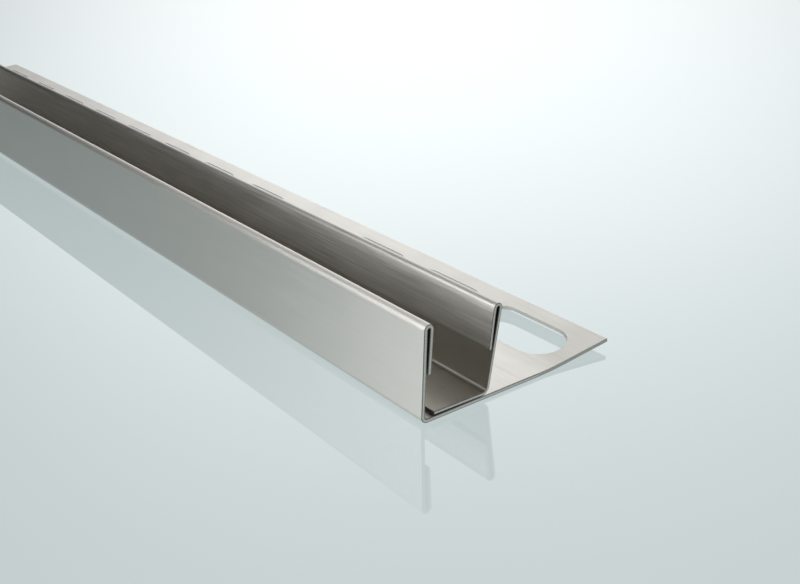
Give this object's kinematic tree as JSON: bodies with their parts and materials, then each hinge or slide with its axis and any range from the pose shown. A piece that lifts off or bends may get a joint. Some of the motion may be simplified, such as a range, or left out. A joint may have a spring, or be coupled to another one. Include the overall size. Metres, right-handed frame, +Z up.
{
  "type": "u-channel profile",
  "caption": "Bent stainless-sheet U-channel edge profile with hemmed flanges, one upright and one splayed, and a wide slotted anchoring leg.",
  "frame": {"origin": "centre of the length and of the overall width, on the underside that lies on the floor", "axes": "+X along the stock towards the end shown nearest in the picture, +Y across it from the upright flange towards the slotted leg's edge, +Z up out of the channel"},
  "size_m": [0.5, 0.075, 0.03],
  "materials": {
    "base_sheet": "mill-finished stainless sheet, fine lengthwise rolling grain, satin",
    "angle_sheet": "stainless sheet brushed along its length, satin"
  },
  "bodies": {
    "root": {"base_profile": "base_sheet", "angle_profile": "angle_sheet"}
  },
  "joints": []
}
